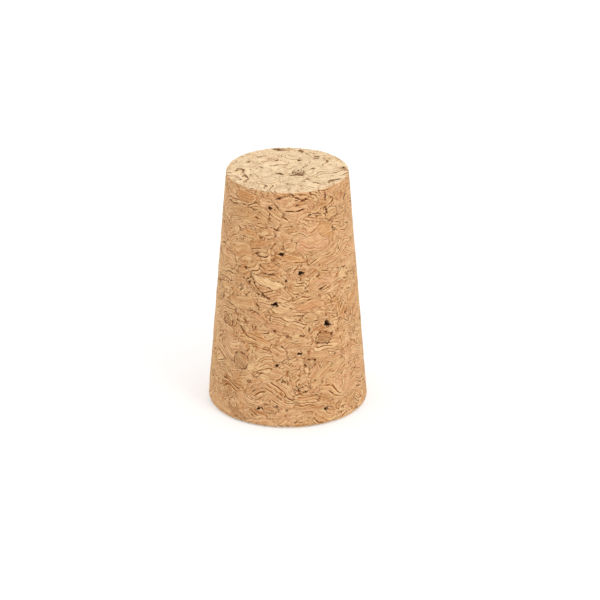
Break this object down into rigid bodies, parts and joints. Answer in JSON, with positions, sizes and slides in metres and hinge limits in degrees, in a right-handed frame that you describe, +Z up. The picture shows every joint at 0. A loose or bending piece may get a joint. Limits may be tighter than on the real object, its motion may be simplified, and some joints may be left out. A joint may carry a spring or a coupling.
{
  "type": "cork stopper",
  "caption": "Tapered stopper of pressed cork granules, wider at its base, with flat ends and small voids between the granules; it plugs the neck of a bottle, tube or jar.",
  "frame": {"origin": "centre of the flat wide end, on which the stopper stands", "axes": "+Z up the stopper's axis, from the wide end to the narrow end; -Y towards the viewer of the stopper's front"},
  "size_m": [0.0214, 0.0214, 0.033],
  "materials": {
    "cork": "matte"
  },
  "bodies": {
    "root": {"stopper": "cork"}
  },
  "joints": []
}
